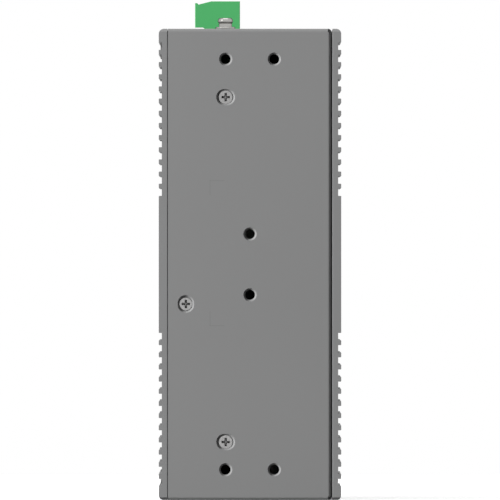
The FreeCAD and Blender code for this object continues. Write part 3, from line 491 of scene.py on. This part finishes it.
# Contacts and pillars: stamped contact wires and pins, and turned brass pillars under the board.
# All have a thin gold flash.
GOLD = (0.7, 0.48, 0.17)
GOLD_ROUGHNESS = 0.29
gold = plated("gold_flash", GOLD, GOLD_ROUGHNESS)
dress(gold, "power_standoffs", "header_pins", "plug_contacts", "port_contacts", "console_contacts")

# Bright aluminium: the switch chip's milled heat spreader and the drawn cans of the capacitors.
# The spreader carries the chip's heat to the chassis's left wall.
ALUMINIUM = (0.5, 0.5, 0.51)
ALUMINIUM_ROUGHNESS = 0.36
aluminium = plated("milled_aluminium", ALUMINIUM, ALUMINIUM_ROUGHNESS)
dress(aluminium, "heat_spreader", "bulk_capacitors")

# Transformer winding: enamelled wire wound on the core's middle leg.
# Yellow insulating tape covers it.
TAPE_YELLOW = (0.7, 0.5, 0.08)
TAPE_SWING = 0.4
TAPE_GRAIN = 400.0
tape = Finish("winding_tape", {"Roughness": 0.3})
tape_tone = about(1.0, (TAPE_SWING, tape.noise(TAPE_GRAIN)))
tape.feed("Base Color", tape.tinted(TAPE_YELLOW, tape_tone))
dress(tape.material, "transformer_coil")

# Shields and cages: tin-plated sheet, stamped and folded round the jacks and the optical modules.
# The terminal's wire clamps have the same plating.
TIN = (0.46, 0.46, 0.45)
TIN_ROUGHNESS = 0.33
TIN_GRAIN = 1600.0
tin = plated("tin_plate", TIN, TIN_ROUGHNESS, TIN_GRAIN)
dress(tin, "port_shield", "console_shield", "sfp_cage", "sfp_divider", "clamp_cages")

# Spring fingers: thin tin-plated strips that bow into the mouth of each cage, seven to a mouth.
# They are welded to the cage's walls and ground a module's case: three on the outer wall, two on each side.
MODULE_XS = (-12.9 * MM, -0.5 * MM)
MODULE_ZS = (103.66 * MM, 118.36 * MM)
MODULE_HEIGHT = 9.2 * MM
MODULE_WIDTH = 14.2 * MM
FINGER_WIDTH = 2.4 * MM
FINGER_TAPER = 0.25
FINGER_LENGTH = 5.0 * MM
FINGER_SPREAD = 0.5 * MM
FINGER_THICKNESS = 0.12 * MM
FINGER_INSET = 0.35 * MM
FINGER_STEPS = 8
OUTER_SPOTS = (-4.3 * MM, 0.0, 4.3 * MM)
SIDE_SPOTS = (-2.1 * MM, 2.1 * MM)
front_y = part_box("front_panel")[0][1]
bm = bmesh.new()
bmesh.ops.create_grid(bm, x_segments=1, y_segments=FINGER_STEPS, size=0.5)
for vert in bm.verts:
    along = vert.co.y + 0.5
    vert.co.x *= FINGER_WIDTH * (1.0 - FINGER_TAPER * along)
    vert.co.y = along * FINGER_LENGTH
    vert.co.z = FINGER_THICKNESS + FINGER_SPREAD * math.sin(math.pi * along) ** 2
bmesh.ops.solidify(bm, geom=bm.faces[:], thickness=FINGER_THICKNESS)
places = []
for x in MODULE_XS:
    for z in MODULE_ZS:
        mouth = Matrix.Translation((x, front_y + FINGER_INSET, z))
        outer_turn = math.pi / 2 if x == min(MODULE_XS) else -math.pi / 2
        for turn, reach, spots in ((outer_turn, MODULE_HEIGHT / 2, OUTER_SPOTS),
                                   (0.0, MODULE_WIDTH / 2, SIDE_SPOTS),
                                   (math.pi, MODULE_WIDTH / 2, SIDE_SPOTS)):
            wall = mouth @ Matrix.Rotation(turn, 4, "Y")
            places += [wall @ Matrix.Translation((spot, 0, -reach)) for spot in spots]
set_at(bm, places)
piece("cage_spring_fingers", bm, "bare_steel", tin)

# Light pipes: milky clear plastic over the lights of the jacks, the cages and the status row.
# Each is a short moulded bar that is pressed in from behind.
LENS_TINT = (0.75, 0.85, 0.72)
LENS_SWING = 0.1
LENS_GRAIN = 900.0
lens = Finish("light_pipe", {"Roughness": 0.2, "Transmission Weight": 0.5, "IOR": 1.49})
lens_tone = about(1.0, (LENS_SWING, lens.noise(LENS_GRAIN)))
lens.feed("Base Color", lens.tinted(LENS_TINT, lens_tone))
dress(lens.material, "port_lights", "cage_lights", "status_lenses")

# Terminal: a green moulded plug, pushed into a header that stands in the upper wall.
# Its wire clamps close with screws from the +X side, where its overhang has the mould's draft.
GREEN = (0.064, 0.345, 0.114)
GREEN_ROUGHNESS = 0.55
PLUG_ROUND = 0.1 * MM
PLUG_LEAST_EDGE = 1.0 * MM
OVERHANG_X = 15.3 * MM
OVERHANG_Y = 14.0 * MM
OVERHANG_RISE = 1.0 * MM
OVERHANG_DRAFT = 0.2 * MM
green_plastic = moulded("green_moulding", GREEN, GREEN_ROUGHNESS)
dress(green_plastic, "header_housing")
dress(zinc, "plug_screws")
bm = merged("plug_housing")
for vert in bm.verts:
    under = vert.co.z < case_top + OVERHANG_RISE
    if under and vert.co.x > OVERHANG_X and vert.co.y < OVERHANG_Y:
        vert.co.z += OVERHANG_DRAFT
soften(bm, PLUG_ROUND, PLUG_LEAST_EDGE)
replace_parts(piece("terminal_plug", bm, "green_plastic", green_plastic), "plug_housing")

# Ground screw: nickel plated, with a domed head that is undercut below its rim, and a cross recess.
# It is cold headed and screws into a nut below the upper wall, through two washers.
GROUND_X = 8.1 * MM
GROUND_Y = 40.0 * MM
GROUND_HEAD_R = 2.5 * MM
GROUND_HEAD_HEIGHT = 1.92 * MM
GROUND_DOME = 0.8 * MM
GROUND_RIM = 0.8 * MM
RIM_DEPTH = 0.1 * MM
GROUND_NECK_R = 2.12 * MM
GROUND_SHANK_R = 1.5 * MM
GROUND_LENGTH = 8.0 * MM
DOME_STEPS = 6
NICKEL = (0.42, 0.415, 0.4)
NICKEL_ROUGHNESS = 0.16
washer_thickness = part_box("ground_washer")[1][2] - case_top
lock_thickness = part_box("ground_lock_washer")[1][2] - case_top - washer_thickness
nickel = plated("bright_nickel", NICKEL, NICKEL_ROUGHNESS)


def quarter_turn(steps):
    """Angles from 0 to a quarter turn, evenly spaced."""
    return [math.pi / 2 * i / steps for i in range(steps + 1)]


def on_ground_screw(height):
    """A place on the ground screw's axis, at a height above the case."""
    return facing((GROUND_X, GROUND_Y, case_top + height), (0, 0, 1))


dome = [(GROUND_HEAD_R - GROUND_DOME * (1 - math.sin(turn)),
         GROUND_RIM + (GROUND_HEAD_HEIGHT - GROUND_RIM) * math.cos(turn))
        for turn in quarter_turn(DOME_STEPS)]
bm = bmesh.new()
screw(bm, dome + [(GROUND_HEAD_R, GROUND_RIM - RIM_DEPTH), (GROUND_NECK_R, 0.0),
                  (GROUND_SHANK_R, 0.0), (GROUND_SHANK_R, -GROUND_LENGTH)])
set_at(bm, [on_ground_screw(washer_thickness + lock_thickness)])
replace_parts(piece("crossed_ground_screw", bm, "chrome", nickel), "ground_screw")

# Flat washer: stamped from sheet and tumbled, so its rims are rounded, then nickel plated.
# It spreads the ground screw's load on the painted wall.
WASHER_R = 3.25 * MM
WASHER_HOLE_R = 1.7 * MM
WASHER_ROUND = 0.18 * MM
UPPER_RIM_STEPS = 4
LOWER_RIM_STEPS = 3
upper_rim = [(WASHER_R - WASHER_ROUND * (1 - math.sin(turn)),
              washer_thickness - WASHER_ROUND * (1 - math.cos(turn)))
             for turn in quarter_turn(UPPER_RIM_STEPS)]
lower_rim = [(WASHER_R - WASHER_ROUND * (1 - math.cos(turn)), WASHER_ROUND * (1 - math.sin(turn)))
             for turn in quarter_turn(LOWER_RIM_STEPS)]
bm = bmesh.new()
turned(bm, upper_rim + lower_rim + [(WASHER_HOLE_R, 0.0), (WASHER_HOLE_R, washer_thickness), upper_rim[0]])
set_at(bm, [on_ground_screw(0.0)])
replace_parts(piece("flat_ground_washer", bm, "chrome", nickel), "ground_washer")

# Split lock washer: one turn of square spring wire, cut across, on the flat washer.
# Its edges bite under the head when the screw is tight. It is nickel plated too.
LOCK_R = 2.2 * MM
LOCK_HOLE_R = 1.52 * MM
LOCK_SPLIT = 0.4 * MM
LOCK_ROUND = 0.1 * MM
half_split = LOCK_SPLIT / (LOCK_R + LOCK_HOLE_R)
bm = bmesh.new()
bmesh.ops.create_grid(bm, x_segments=1, y_segments=1, size=0.5)
bmesh.ops.scale(bm, vec=(LOCK_R - LOCK_HOLE_R, lock_thickness, 1), verts=bm.verts)
bmesh.ops.rotate(bm, matrix=Matrix.Rotation(math.pi / 2, 3, "X"), verts=bm.verts)
bmesh.ops.translate(bm, vec=((LOCK_R + LOCK_HOLE_R) / 2, 0, lock_thickness / 2), verts=bm.verts)
bmesh.ops.rotate(bm, matrix=Matrix.Rotation(half_split, 3, "Z"), verts=bm.verts)
wire = bm.faces[:] + bm.edges[:] + bm.verts[:]
bmesh.ops.spin(bm, geom=wire, axis=(0, 0, 1), cent=(0, 0, 0), angle=2 * math.pi - 2 * half_split,
               steps=RING_STEPS, use_merge=False, use_duplicate=False)
bmesh.ops.remove_doubles(bm, verts=bm.verts, dist=MERGE)
soften(bm, LOCK_ROUND)
set_at(bm, [on_ground_screw(washer_thickness)])
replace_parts(piece("split_lock_washer", bm, "chrome", nickel), "ground_lock_washer")

# Stage: a plain pale floor and a white studio, both of which light the object much less than they show.
# They show at full strength to the camera and in metal and glass.
FLOOR_SIZE = 1.6
FLOOR_TONE = 0.9
FLOOR_BOUNCE = 0.1
FLOOR_GLOW = 0.2
WORLD_LEVEL = 0.09
WHITE = (1.0, 1.0, 1.0)


def shown_in(tree):
    """1 for what the camera sees, straight or in metal and glass, and 0 for what lights other things."""
    camera_ray, glossy_ray, glass_ray = (tree.add("ShaderNodeLightPath", output=f"Is {kind} Ray")
                                         for kind in ("Camera", "Glossy", "Transmission"))
    return camera_ray.worked("MAXIMUM", camera_ray.worked("MAXIMUM", camera_ray, glossy_ray), glass_ray)


bm = bmesh.new()
bmesh.ops.create_grid(bm, x_segments=1, y_segments=1, size=FLOOR_SIZE / 2)
floor_mesh = bpy.data.meshes.new("floor")
bm.to_mesh(floor_mesh)
bm.free()
floor = bpy.data.objects.new("floor", floor_mesh)
bpy.context.scene.collection.objects.link(floor)
pale = Finish("pale_floor", {"Roughness": 0.9, "Specular IOR Level": 0.0, "Emission Strength": 1.0})
seen = shown_in(pale)
pale.feed("Base Color", pale.tinted(WHITE, FLOOR_BOUNCE + (FLOOR_TONE - FLOOR_BOUNCE) * seen))
pale.feed("Emission Color", pale.tinted(WHITE, FLOOR_GLOW * seen))
floor_mesh.materials.append(pale.material)

world = bpy.data.worlds.new("studio")
world.use_nodes = True
bpy.context.scene.world = world
studio = Nodes(world.node_tree)
level = WORLD_LEVEL + (1.0 - WORLD_LEVEL) * shown_in(studio)
background = world.node_tree.nodes["Background"]
background.inputs["Color"].default_value = (*WHITE, 1.0)
world.node_tree.links.new(level.socket, background.inputs["Strength"])

# Lamps: the key stands low, out beyond the right plate, where the photograph's light comes from.
# Two dim boxes show in the metal as highlights, and two more light the front.


def softbox(name, place, width, height, power, mirrored=False):
    """An area lamp aimed at the middle of the case. Metal shows it only where it is mirrored."""
    lamp = bpy.data.lights.new(name, "AREA")
    lamp.shape = "RECTANGLE"
    lamp.size = width
    lamp.size_y = height
    lamp.energy = power
    box = bpy.data.objects.new(name, lamp)
    box.location = place
    aim = Vector((0.0, 0.0, case_top / 2)) - Vector(place)
    box.rotation_euler = aim.to_track_quat("-Z", "Y").to_euler()
    box.visible_camera = False
    box.visible_glossy = mirrored
    bpy.context.scene.collection.objects.link(box)


softbox("key", place=(1.75, 0.83, 0.58), width=0.5, height=0.5, power=84.0)
softbox("overhead", place=(0.0, 0.3, 1.5), width=1.2, height=0.8, power=6.0, mirrored=True)
softbox("panel", place=(1.6, 0.9, 0.9), width=0.6, height=0.8, power=4.0, mirrored=True)
softbox("front_key", place=(-0.8, -1.3, 1.3), width=0.8, height=0.8, power=27.0)
softbox("front_fill", place=(-1.0, -1.6, 0.5), width=0.8, height=0.8, power=21.0)

# Camera: straight on to the rear wall and far off, as the photograph was taken.
# The lower edge of its frame runs along the case's underside.
FRAME_WIDTH = 0.1644
FRAME_RISE = 0.04 * MM
CAMERA_DISTANCE = 7.85
SENSOR = 36.0
camera_data = bpy.data.cameras.new("camera")
camera_data.sensor_width = SENSOR
camera_data.lens = SENSOR * CAMERA_DISTANCE / FRAME_WIDTH
camera = bpy.data.objects.new("camera", camera_data)
camera.location = (0.0, rear_y + CAMERA_DISTANCE, FRAME_WIDTH / 2 + FRAME_RISE)
camera.rotation_euler = (math.pi / 2, 0.0, math.pi)
bpy.context.scene.collection.objects.link(camera)
bpy.context.scene.camera = camera
bpy.context.scene.view_settings.view_transform = "Standard"
